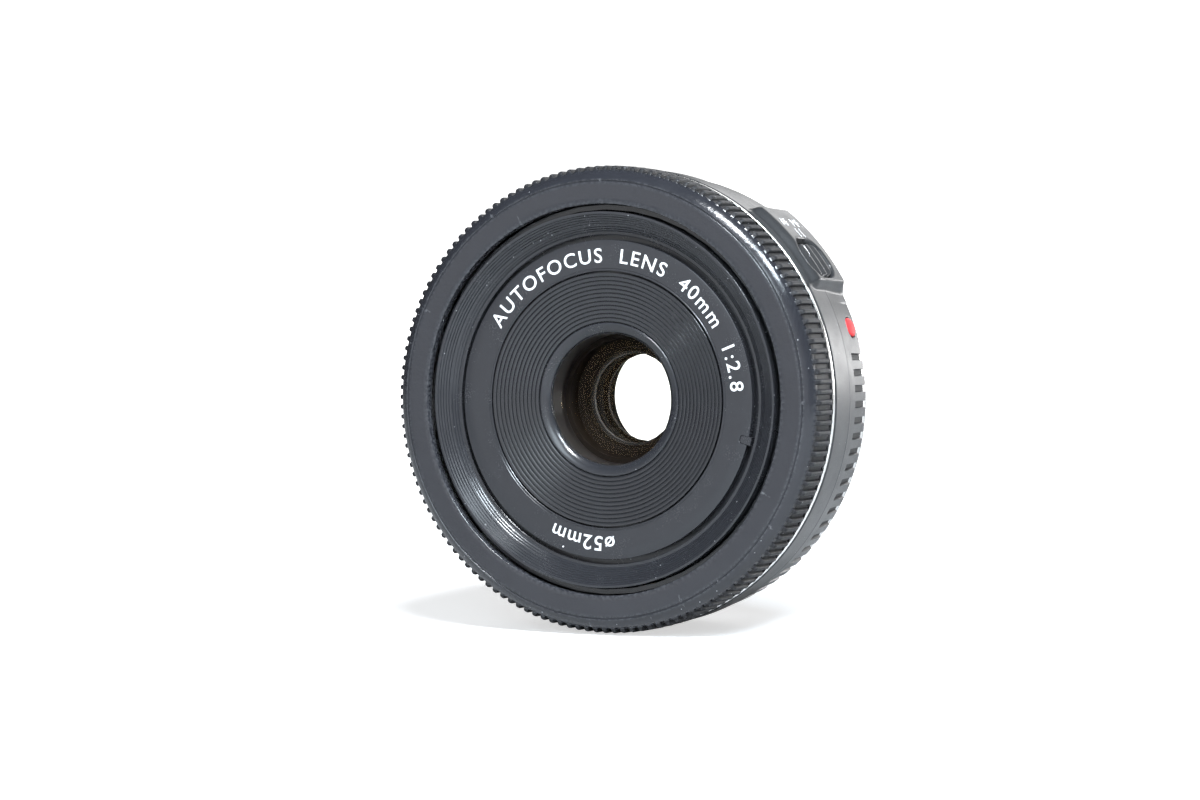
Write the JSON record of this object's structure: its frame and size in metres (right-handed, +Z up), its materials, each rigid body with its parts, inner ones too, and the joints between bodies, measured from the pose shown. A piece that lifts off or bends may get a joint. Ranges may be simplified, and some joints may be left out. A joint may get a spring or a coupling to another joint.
{
  "type": "prime camera lens",
  "caption": "Slim autofocus prime lens: knurled focus ring, extending optical unit, closing iris, focus mode switch and a lugged bayonet rear.",
  "frame": {"origin": "the point on the supporting surface straight below the middle of the lens, which stands on its rim with its optical axis level, 34.1 mm up", "axes": "+Z up, the optical axis along Y with the front glass facing -Y and the bayonet facing +Y, +X to the right as seen by someone facing the front glass"},
  "size_m": [0.0682, 0.028, 0.0682],
  "materials": {
    "barrel_black": "satin moulded plastic with a fine grain",
    "focus_ring_black": "satin moulded plastic, knurled, edges rubbed shiny",
    "baffle_black": "dull anti-reflection black",
    "trim_metal": "polished thin ring",
    "mount_metal": "turned and brushed metal",
    "screw_metal": "polished screw head",
    "spring_metal": "plain sheet metal",
    "brass": "turned brass",
    "gold_contact": "gold plated, polished",
    "index_red": "glossy red paint",
    "nylon": "plain moulded nylon",
    "board": "circuit board",
    "amber_film": "flexible circuit film",
    "coated_glass": "polished glass with an amber and brown coating",
    "marking_white": "white printed marking"
  },
  "bodies": {
    "barrel": {"main_barrel": "barrel_black", "trim_ring": "trim_metal", "index_dot": "index_red", "guide_tube": "baffle_black", "bayonet_mount": "mount_metal", "mount_screw_1": "screw_metal", "mount_screw_2": "screw_metal", "mount_screw_3": "screw_metal", "mount_screw_4": "screw_metal", "contact_block": "baffle_black", "contact_1": "gold_contact", "contact_2": "gold_contact", "contact_3": "gold_contact", "contact_4": "gold_contact", "contact_5": "gold_contact", "contact_6": "gold_contact", "contact_7": "gold_contact", "rear_cover": "baffle_black", "main_board": "board", "controller_chip": "baffle_black", "flex_cable": "amber_film", "switch_detent": "spring_metal", "focus_motor": "spring_metal", "gearbox": "baffle_black", "ring_sensor": "baffle_black"},
    "focus_ring": {"focus_ring": "focus_ring_black", "encoder_ring": "nylon"},
    "drive_ring": {"drive_ring": "nylon"},
    "focus_pinion": {"focus_pinion": "brass"},
    "optical_unit": {"inner_barrel": "barrel_black", "name_ring": "barrel_black", "ridged_baffle": "baffle_black", "front_retainer": "barrel_black", "front_cell": "baffle_black", "lens_1": "coated_glass", "lens_2": "coated_glass", "lens_3": "coated_glass", "lens_4": "coated_glass", "lens_5": "coated_glass", "lens_6": "coated_glass", "rear_cell": "baffle_black", "rear_retainer": "barrel_black", "iris_base": "baffle_black", "iris_cover": "baffle_black", "iris_motor": "spring_metal", "cam_follower_1": "brass", "cam_follower_2": "brass", "cam_follower_3": "brass"},
    "iris_ring": {"iris_ring": "nylon"},
    "iris_pinion": {"iris_pinion": "brass"},
    "mode_switch": {"switch_knob": "barrel_black"},
    "iris_blade_1": {"iris_blade_1": "spring_metal"},
    "iris_blade_2": {"iris_blade_2": "spring_metal"},
    "iris_blade_3": {"iris_blade_3": "spring_metal"},
    "iris_blade_4": {"iris_blade_4": "spring_metal"},
    "iris_blade_5": {"iris_blade_5": "spring_metal"},
    "iris_blade_6": {"iris_blade_6": "spring_metal"},
    "iris_blade_7": {"iris_blade_7": "spring_metal"}
  },
  "joints": [
    {"name": "focus_ring_turn", "type": "hinge", "parent": "barrel", "child": "focus_ring", "pos_m": [0, 0, 0.0341], "axis": [0, -1, 0], "continuous": true},
    {"name": "focus_drive", "type": "hinge", "parent": "barrel", "child": "drive_ring", "pos_m": [0, 0, 0.0341], "axis": [0, -1, 0], "range_deg": [0, 80.1]},
    {"name": "focus_pinion_turn", "type": "hinge", "parent": "barrel", "child": "focus_pinion", "pos_m": [0, 0, 0.0091], "axis": [0, -1, 0], "range_deg": [0, 747]},
    {"name": "focus_extend", "type": "slide", "parent": "barrel", "child": "optical_unit", "axis": [0, -1, 0], "range_m": [0, 0.007]},
    {"name": "iris_drive", "type": "hinge", "parent": "optical_unit", "child": "iris_ring", "pos_m": [0, 0, 0.0341], "axis": [0, -1, 0], "range_deg": [0, 66.4]},
    {"name": "iris_pinion_turn", "type": "hinge", "parent": "optical_unit", "child": "iris_pinion", "pos_m": [0.01507, 0, 0.0428], "axis": [0, -1, 0], "range_deg": [-416, 0]},
    {"name": "mode_switch_slide", "type": "slide", "parent": "barrel", "child": "mode_switch", "axis": [0, -1, 0], "range_m": [0, 0.0016]},
    {"name": "iris_blade_1_swing", "type": "hinge", "parent": "optical_unit", "child": "iris_blade_1", "pos_m": [0.01037, 0, 0.0363], "axis": [0, -1, 0], "range_deg": [0, 32.75]},
    {"name": "iris_blade_2_swing", "type": "hinge", "parent": "optical_unit", "child": "iris_blade_2", "pos_m": [0.00474, 0, 0.04358], "axis": [0, -1, 0], "range_deg": [0, 32.75]},
    {"name": "iris_blade_3_swing", "type": "hinge", "parent": "optical_unit", "child": "iris_blade_3", "pos_m": [-0.00446, 0, 0.04372], "axis": [0, -1, 0], "range_deg": [0, 32.75]},
    {"name": "iris_blade_4_swing", "type": "hinge", "parent": "optical_unit", "child": "iris_blade_4", "pos_m": [-0.0103, 0, 0.03661], "axis": [0, -1, 0], "range_deg": [0, 32.75]},
    {"name": "iris_blade_5_swing", "type": "hinge", "parent": "optical_unit", "child": "iris_blade_5", "pos_m": [-0.00839, 0, 0.02762], "axis": [0, -1, 0], "range_deg": [0, 32.75]},
    {"name": "iris_blade_6_swing", "type": "hinge", "parent": "optical_unit", "child": "iris_blade_6", "pos_m": [-0.00016, 0, 0.0235], "axis": [0, -1, 0], "range_deg": [0, 32.75]},
    {"name": "iris_blade_7_swing", "type": "hinge", "parent": "optical_unit", "child": "iris_blade_7", "pos_m": [0.00819, 0, 0.02737], "axis": [0, -1, 0], "range_deg": [0, 32.75]}
  ],
  "couplings": [
    {"joint": "focus_drive", "follows": "focus_extend", "rad_per_m": 199.47},
    {"joint": "focus_pinion_turn", "follows": "focus_extend", "rad_per_m": 1861.7},
    {"joint": "iris_pinion_turn", "follows": "iris_drive", "ratio": -6.25},
    {"joint": "iris_blade_1_swing", "follows": "iris_drive", "ratio": 0.49247},
    {"joint": "iris_blade_2_swing", "follows": "iris_drive", "ratio": 0.49247},
    {"joint": "iris_blade_3_swing", "follows": "iris_drive", "ratio": 0.49247},
    {"joint": "iris_blade_4_swing", "follows": "iris_drive", "ratio": 0.49247},
    {"joint": "iris_blade_5_swing", "follows": "iris_drive", "ratio": 0.49247},
    {"joint": "iris_blade_6_swing", "follows": "iris_drive", "ratio": 0.49247},
    {"joint": "iris_blade_7_swing", "follows": "iris_drive", "ratio": 0.49247}
  ]
}
